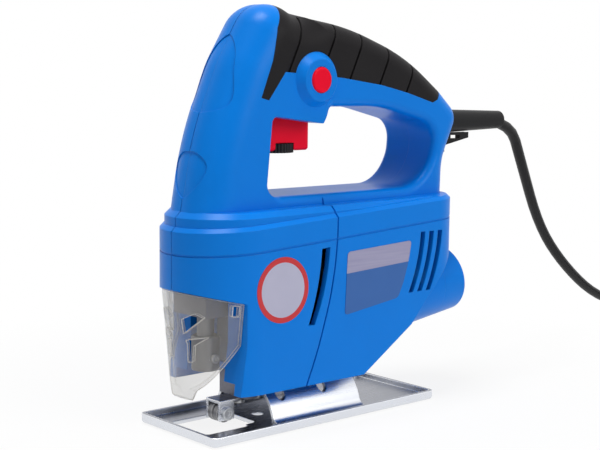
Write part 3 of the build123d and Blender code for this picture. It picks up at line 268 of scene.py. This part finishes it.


# Plated steel: a cloudy tone; on brushed steels the faces that point up are darkened, a painted shade
def platedSteel(name):
    settings = steelSettings[name]
    finish = Finish(name)
    shared = steelSettings
    cloud = finish.noise(*shared["cloudNoise"])
    scratch = finish.noise(*shared["scratchNoise"], shared["brushStretch"] if settings["brushed"] else None)
    rounded = finish.softEdge(shared["edge"])
    # edge mask for the paler rounded edges, edge wear and painted highlight
    wearAndHighlight = finish.edgeMask(rounded, shared["wearAndHighlightGain"])
    rough = settings["rough"] - shared["roughDrop"]
    face = tone(finish, cloud, settings)
    # painted shade: faces that point up are darkened towards a dull tone
    if settings["brushed"]:
        start = shared["upShadeFrom"]
        upShade = finish.clamp((finish.faceUp() - start) / (1.0 - start))
        paintedShadeTone = colour(*[part * settings["base"][0] for part in shared["upShadeTone"]])
        face = finish.mix(upShade * shared["upShadeShare"], face, paintedShadeTone)
    # pale edge tone: edge wear and painted highlight
    pairs = zip(settings["base"], shared["wearAndHighlightTone"])
    wearAndHighlightTone = colour(*[(plain + clean) / 2 for plain, clean in pairs])
    return finish.done(finish.principled({
        "Base Color": finish.mix(wearAndHighlight, face, wearAndHighlightTone),
        "Metallic": 1.0,
        "Roughness": cloud * shared["cloudRough"] + scratch * shared["scratchRough"] + rough,
        "Normal": finish.bump(scratch + cloud * shared["cloudHeight"], shared["grain"], rounded),
    }))


def castMetal(name):
    settings = castSettings[name]
    finish = Finish(name)
    lumps = finish.noise(*castSettings["lumpNoise"])
    cloud = finish.noise(*castSettings["cloudNoise"])
    rough = settings["rough"] - castSettings["roughDrop"]
    return finish.done(finish.principled({
        "Base Color": tone(finish, cloud, settings),
        "Metallic": 1.0,
        "Roughness": lumps * castSettings["lumpRough"] + rough,
        "Normal": finish.bump(lumps, castSettings["grain"]),
    }))


windingSettings = {
    "base": (0.3, 0.09, 0.03), "shade": (0.6, 0.22, 0.09), "metallic": 0.8,
    "rough": 0.5, "strandRough": 0.15, "grain": 0.0002,
    "wave": {"Scale": 420.0, "Distortion": 2.0, "Detail": 1.0},
}


def windingWire(name):
    finish = Finish(name)
    wave = {"Vector": finish.place, **windingSettings["wave"]}
    strands = finish.add("ShaderNodeTexWave", {"bands_direction": "X"}, wave, "Fac")
    return finish.done(finish.principled({
        "Base Color": tone(finish, strands, windingSettings),
        "Metallic": windingSettings["metallic"],
        "Roughness": windingSettings["rough"] - strands * windingSettings["strandRough"],
        "Normal": finish.bump(strands, windingSettings["grain"]),
    }))


guardSettings = {
    "tint": (0.88, 0.88, 0.88),
    "haze": (0.95, 0.92, 0.86),
    "facing": 0.09,
    "rim": 0.80,
    "rimBlend": 0.35,
    "rimPower": 2.2,
    "border": 4.0,
    "bevel": 0.0009,
    "hazeNoise": (45.0, 3.0),
    "hazeShare": 0.04,
    "hazeRough": 0.10,
    "rough": 0.06,
    "gloss": 0.6,
    "coat": 0.5,
}


def clearPlastic(name):
    finish = Finish(name)
    haze = finish.noise(*guardSettings["hazeNoise"])
    edge = finish.add("ShaderNodeLayerWeight", None, {"Blend": guardSettings["rimBlend"]}, "Facing")
    rounded = finish.softEdge(guardSettings["bevel"])
    see = finish.add("ShaderNodeBsdfTransparent", None, {"Color": colour(*guardSettings["tint"])})
    shell = finish.principled({
        "Base Color": colour(*guardSettings["haze"]),
        "Roughness": haze * guardSettings["hazeRough"] + guardSettings["rough"],
        "Specular IOR Level": guardSettings["gloss"],
        "Coat Weight": guardSettings["coat"],
        "Normal": rounded,
    })
    body = edge ** guardSettings["rimPower"] * guardSettings["rim"]
    body = body + haze * guardSettings["hazeShare"] + guardSettings["facing"]
    body = finish.clamp(body + finish.edgeMask(rounded, guardSettings["border"]))
    return finish.done(finish.add("ShaderNodeMixShader", None, {0: body, 1: see, 2: shell}))


finishes = {"copperWire": windingWire("copperWire"), "clearPlastic": clearPlastic("clearPlastic")}
for maker, table in ((mouldedPlastic, plasticSettings), (softRubber, rubberSettings),
                     (platedSteel, steelSettings), (castMetal, castSettings)):
    for finishName, settings in table.items():
        if isinstance(settings, dict):
            finishes[finishName] = maker(finishName)
print("finishes made:", len(finishes))

finishOfNode = {
    "bluePlastic": ["left_housing", "right_housing", "dust_port"],
    "gripRubber": ["grip_cover"],
    "clearPlastic": ["blade_guard"],
    "redPlastic": ["trigger", "lock_button"],
    "blackPlastic": ["speed_dial", "switch_module", "cooling_fan", "fan_baffle", "cord_clamp", "cord_tie"],
    "yellowPlastic": ["capacitor"],
    "carbon": ["carbon_brushes"],
    "cordRubber": ["cord_sleeve", "key_holder", "plug"],
    "zincSteel": ["shoe", "saddle", "roller_bracket"],
    "screwSteel": ["housing_screws", "seat_screw", "clamp_plate", "clamp_screws", "roller_pin",
                   "front_bearing", "rear_bearing", "blade_clamp_screw", "cord_clamp_screws", "plug_pins"],
    "darkSteel": ["guide_roller", "armature_shaft", "armature_core", "pinion", "field_core", "gear_axle",
                  "drive_gear", "crank_pin", "crank_roller", "plunger", "blade_clamp"],
    "brass": ["brush_holders"],
    "bronze": ["upper_bush", "lower_bush"],
    "castAluminiumPaintedShade": ["bevel_seat", "gear_case"],
    "copperWire": ["armature_windings", "commutator", "field_coils"],
}
for finishName, group in finishOfNode.items():
    for nodeName in group:
        slots = nodes[nodeName].data.materials
        slots.clear()
        slots.append(finishes[finishName])
print("finishes given to the nodes")


def newPiece(name, mesh, finish, body):
    piece = bpy.data.objects.new(name, mesh)
    bpy.context.scene.collection.objects.link(piece)
    piece.data.materials.append(finish)
    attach(piece, body)
    return piece


# Cord: the route's points are repeated in millimetres, and the coil's turns follow from a loop
cordSettings = {
    "radius": 3.0,
    "route": [(129.5, 0.0, 138.5), (157.0, 0.0, 138.5), (181.5, 11.0, 113.5), (226.0, 32.0, 71.0),
              (262.0, 40.0, 43.0), (305.0, 46.0, 17.5), (351.0, 49.0, 4.7), (396.0, 49.0, 4.7)],
    "coilOuter": 48.0,
    "coilPitch": 6.6,
    "coilTurns": 4,
    "pointsInHalfTurn": 8,
    "tailShares": (0.1, 0.5, 1.0),
    "length": 2.184,
    "fineness": 5,
}


def halfTurn(centre, start, end, lowZ, highZ, ahead):
    count = cordSettings["pointsInHalfTurn"]
    middle = (start + end) / 2
    reach = (start - end) / 2 / math.cos(math.pi / (2 * count))
    points = []
    for number in range(count):
        share = (number + 0.5) / count
        turn = math.pi * share
        x = centre[0] + ahead * abs(reach) * math.sin(turn)
        y = centre[1] + middle + reach * math.cos(turn)
        points.append((x, y, lowZ + (highZ - lowZ) * share))
    return points


def coilPoints():
    last = cordSettings["route"][-1]
    outer = cordSettings["coilOuter"]
    pitch = cordSettings["coilPitch"]
    turns = cordSettings["coilTurns"]
    centre = (last[0] + 2 * cordSettings["radius"], last[1] - outer)
    low = last[2]
    high = low + pitch
    right = [outer - pitch * number for number in range(turns + 1)]
    left = [pitch / 2 - side for side in right]
    points = []
    for number in range(turns):
        points += halfTurn(centre, right[number], left[number], low, low, 1)
        points += halfTurn(centre, left[number], right[number + 1], low, low, -1)
    points += halfTurn(centre, right[turns], left[turns], low, high, 1)
    for number in range(turns, 0, -1):
        points += halfTurn(centre, left[number], right[number - 1], high, high, -1)
        points += halfTurn(centre, right[number - 1], left[number - 1], high, high, 1)
    exitY = centre[1] + left[0]
    return points + [(centre[0] - share * outer, exitY, high) for share in cordSettings["tailShares"]]


def makeCord():
    points = cordSettings["route"] + coilPoints()
    curve = bpy.data.curves.new("mains_cord", "CURVE")
    curve.dimensions = "3D"
    curve.bevel_depth = cordSettings["radius"] * mm
    curve.bevel_resolution = cordSettings["fineness"]
    curve.resolution_u = cordSettings["fineness"]
    curve.use_fill_caps = True
    spline = curve.splines.new("NURBS")
    spline.points.add(len(points) - 1)
    for place, point in zip(spline.points, points):
        place.co = (*[value * mm for value in point], 1.0)
    spline.order_u = 3
    spline.use_endpoint_u = True
    cord = newPiece("mains_cord", curve, finishes["cordRubber"], "housing")
    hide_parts("cord_run", "cord_coil")
    start = [value * mm for value in points[0]]
    return cord


makeCord()
print("cord laid")


# Rating plate: bare two-tone foil on the left side, corners in X and Z
plateSettings = {
    "corners": [(8.1, 80.2), (50.6, 82.4), (49.6, 76.4), (48.2, 70.4), (45.6, 62.6), (41.9, 55.0),
                (6.7, 50.4)],
    "roundedCorners": [0, 1, 5, 6],
    "side": -29.0,
    "lift": 0.25,
    "sunk": 0.05,
    "cornerRound": 1.8,
    "bandLeft": (7.6, 70.0),
    "bandRight": (48.6, 72.2),
    "lower": {"base": (0.030, 0.115, 0.360), "shade": (0.038, 0.130, 0.390)},
    "silver": {"base": (0.26, 0.25, 0.40), "shade": (0.36, 0.35, 0.48)},
    "sheenNoise": (70.0, 3.0),
    "brushNoise": (900.0, 2.0, (0.04, 1.0, 1.0)),
    "metallic": 0.3,
    "rough": 0.26,
    "noiseRough": 0.1,
    "grain": 0.00002,
    "gloss": 0.25,
}


def plateFoil():
    finish = Finish("plateFoil")
    x = finish.axis("X")
    z = finish.axis("Z")
    (x0, z0), (x1, z1) = plateSettings["bandLeft"], plateSettings["bandRight"]
    slope = (z1 - z0) / (x1 - x0)
    upper = z - x * slope > (z0 - x0 * slope) * mm
    sheen = finish.noise(*plateSettings["sheenNoise"])
    brush = finish.noise(*plateSettings["brushNoise"])
    lower = tone(finish, sheen, plateSettings["lower"])
    silver = tone(finish, brush, plateSettings["silver"])
    step = plateSettings["noiseRough"]
    return finish.done(finish.principled({
        "Base Color": finish.mix(upper, lower, silver),
        "Metallic": upper * plateSettings["metallic"],
        "Roughness": sheen * step + brush * step + plateSettings["rough"],
        "Normal": finish.bump(brush, plateSettings["grain"]),
        "Specular IOR Level": plateSettings["gloss"],
    }))


def makePlate():
    shape = bmesh.new()
    side = (plateSettings["side"] + plateSettings["sunk"]) * mm
    corners = [shape.verts.new((x * mm, side, z * mm)) for x, z in plateSettings["corners"]]
    shape.faces.new(corners)
    bmesh.ops.bevel(shape, geom=[corners[number] for number in plateSettings["roundedCorners"]],
                    offset=plateSettings["cornerRound"] * mm, affect="VERTICES", segments=5, profile=0.5,
                    material=-1)
    pushed = bmesh.ops.extrude_face_region(shape, geom=shape.faces[:])
    moved = [item for item in pushed["geom"] if isinstance(item, bmesh.types.BMVert)]
    lift = (plateSettings["lift"] + plateSettings["sunk"]) * mm
    bmesh.ops.translate(shape, verts=moved, vec=(0, -lift, 0))
    bmesh.ops.recalc_face_normals(shape, faces=shape.faces[:])
    mesh = bpy.data.meshes.new("rating_plate")
    shape.to_mesh(mesh)
    shape.free()
    return newPiece("rating_plate", mesh, plateFoil(), "housing")


makePlate()


# Round badge: a bare pale disc with a red rim, wrapped on the nose's round
badgeSettings = {
    "centre": (-31.4, 66.3),
    "radius": 15.0,
    "rim": 2.5,
    "side": 29.0,
    "noseCentre": -43.0,
    "lift": 0.22,
    "segments": 64,
    "rings": 4,
    "pale": {"base": (0.42, 0.42, 0.55), "shade": (0.48, 0.47, 0.60)},
    "red": {"base": (0.52, 0.03, 0.035), "shade": (0.58, 0.04, 0.045)},
    "sheenNoise": (80.0, 3.0),
    "sheenRough": 0.1,
    "rough": 0.3,
    "gloss": 0.25,
}


def badgeFoil():
    finish = Finish("badgeFoil")
    x = finish.axis("X")
    z = finish.axis("Z")
    dx = x - badgeSettings["centre"][0] * mm
    dz = z - badgeSettings["centre"][1] * mm
    away = (dx * dx + dz * dz) ** 0.5
    rim = away > (badgeSettings["radius"] - badgeSettings["rim"]) * mm
    sheen = finish.noise(*badgeSettings["sheenNoise"])
    pale = tone(finish, sheen, badgeSettings["pale"])
    red = tone(finish, sheen, badgeSettings["red"])
    return finish.done(finish.principled({
        "Base Color": finish.mix(rim, pale, red),
        "Roughness": sheen * badgeSettings["sheenRough"] + badgeSettings["rough"],
        "Specular IOR Level": badgeSettings["gloss"],
    }))


def makeBadge():
    shape = bmesh.new()
    radius = badgeSettings["radius"] * mm
    rings = badgeSettings["rings"]
    bmesh.ops.create_circle(shape, cap_ends=True, segments=badgeSettings["segments"], radius=radius)
    for ring in range(rings):
        inner = max(shape.faces, key=lambda face: len(face.verts))
        bmesh.ops.inset_region(shape, faces=[inner], thickness=radius / (rings + 1))
    pushed = bmesh.ops.extrude_face_region(shape, geom=shape.faces[:])
    moved = [item for item in pushed["geom"] if isinstance(item, bmesh.types.BMVert)]
    bmesh.ops.translate(shape, verts=moved, vec=(0, 0, badgeSettings["lift"] * mm))
    cx, cz = badgeSettings["centre"]
    for vert in shape.verts:
        x = vert.co.x / mm + cx
        z = vert.co.y / mm + cz
        fall = min(0.0, x - badgeSettings["noseCentre"])
        side = math.sqrt(badgeSettings["side"] ** 2 - fall ** 2)
        vert.co = Vector((x * mm, -side * mm - vert.co.z, z * mm))
    bmesh.ops.recalc_face_normals(shape, faces=shape.faces[:])
    mesh = bpy.data.meshes.new("round_badge")
    shape.to_mesh(mesh)
    shape.free()
    return newPiece("round_badge", mesh, badgeFoil(), "housing")


makeBadge()
print("labels laid")


# Camera at the photo's place
cameraSettings = {
    "place": (-405.5, -466.6, 165.0),
    "azimuth": -41.247,
    "pitch": 6.853,
    "roll": 0.591,
    "lens": 78.0,
    "sensor": 36.0,
    "clip": (0.01, 50.0),
}


def makeCamera():
    data = bpy.data.cameras.new("photoCamera")
    data.lens = cameraSettings["lens"]
    data.sensor_width = cameraSettings["sensor"]
    data.clip_start, data.clip_end = cameraSettings["clip"]
    camera = bpy.data.objects.new("photoCamera", data)
    bpy.context.scene.collection.objects.link(camera)
    turn = math.radians(cameraSettings["azimuth"])
    rise = math.radians(cameraSettings["pitch"])
    back = Vector((math.sin(turn) * math.cos(rise), -math.cos(turn) * math.cos(rise), math.sin(rise)))
    facing = (-back).to_track_quat("-Z", "Y").to_matrix()
    facing = facing @ Matrix.Rotation(math.radians(cameraSettings["roll"]), 3, "Z")
    camera.matrix_world = Matrix.Translation(Vector(cameraSettings["place"]) * mm) @ facing.to_4x4()
    bpy.context.scene.camera = camera


makeCamera()


# Floor, world and lamps
lightSettings = {
    "skyStrength": 0.27,
    "floorTone": 0.86,
    "floorSize": 6.0,
    "floorDrop": 0.0004,
    "floorGlow": (0.86, 1.0),
    "glowReach": (0.10, 0.28),
    "glowCentre": (0.02, 0.0, 0.0),
    "lamps": [
        ("topLamp", (-0.2, -0.02, 1.26), 0.42, 11.0),
        ("frontLamp", (-1.1, -0.4, 0.7), 0.8, 0.4),
        ("sideLamp", (0.45, -1.3, 0.75), 0.7, 8.4),
    ],
    "aim": (0.02, 0.0, 0.09),
}


def seenDirectly(tree):
    path = tree.nodes.new("ShaderNodeLightPath")
    names = ("Is Camera Ray", "Is Glossy Ray", "Is Transmission Ray")
    seen, glossy, through = [Wire(tree, path.outputs[name]) for name in names]
    return seen + glossy + through


def makeFloor():
    shape = bmesh.new()
    bmesh.ops.create_grid(shape, x_segments=1, y_segments=1, size=lightSettings["floorSize"])
    bmesh.ops.translate(shape, verts=shape.verts[:], vec=(0, 0, -lightSettings["floorDrop"]))
    mesh = bpy.data.meshes.new("studioFloor")
    shape.to_mesh(mesh)
    shape.free()
    floor = bpy.data.objects.new("studioFloor", mesh)
    bpy.context.scene.collection.objects.link(floor)
    finish = Finish("studioFloor")
    grey = lightSettings["floorTone"]
    matte = finish.add("ShaderNodeBsdfDiffuse", None, {"Color": colour(grey, grey, grey)})
    glow = finish.add("ShaderNodeEmission", None, {"Color": colour(1.0, 1.0, 1.0), "Strength": 1.0})
    away = finish.add("ShaderNodeVectorMath", {"operation": "DISTANCE"}, {
        0: finish.place, 1: lightSettings["glowCentre"],
    }, "Value")
    near, far = lightSettings["glowReach"]
    low, high = lightSettings["floorGlow"]
    glowShare = finish.add("ShaderNodeMapRange", None, {
        "Value": away, "From Min": near, "From Max": far, "To Min": low, "To Max": high,
    })
    share = seenDirectly(finish.tree) * glowShare
    blend = finish.add("ShaderNodeMixShader", None, {0: share, 1: matte, 2: glow})
    floor.data.materials.append(finish.done(blend))


def makeWorld():
    world = bpy.data.worlds.new("studioSky")
    bpy.context.scene.world = world
    world.use_nodes = True
    tree = world.node_tree
    tree.nodes.clear()
    strength = seenDirectly(tree) * (1.0 - lightSettings["skyStrength"]) + lightSettings["skyStrength"]
    sky = tree.nodes.new("ShaderNodeBackground")
    plugIn(tree, sky.inputs["Color"], colour(1.0, 1.0, 1.0))
    plugIn(tree, sky.inputs["Strength"], strength)
    output = tree.nodes.new("ShaderNodeOutputWorld")
    tree.links.new(sky.outputs[0], output.inputs["Surface"])


def makeLamps():
    for name, place, size, power in lightSettings["lamps"]:
        data = bpy.data.lights.new(name, "AREA")
        data.size = size
        data.energy = power
        lamp = bpy.data.objects.new(name, data)
        bpy.context.scene.collection.objects.link(lamp)
        aim = Vector(lightSettings["aim"]) - Vector(place)
        facing = aim.to_track_quat("-Z", "Y").to_matrix().to_4x4()
        lamp.matrix_world = Matrix.Translation(Vector(place)) @ facing


makeFloor()
makeWorld()
makeLamps()
bpy.context.scene.view_settings.view_transform = "Standard"
print("camera, floor and lamps placed")
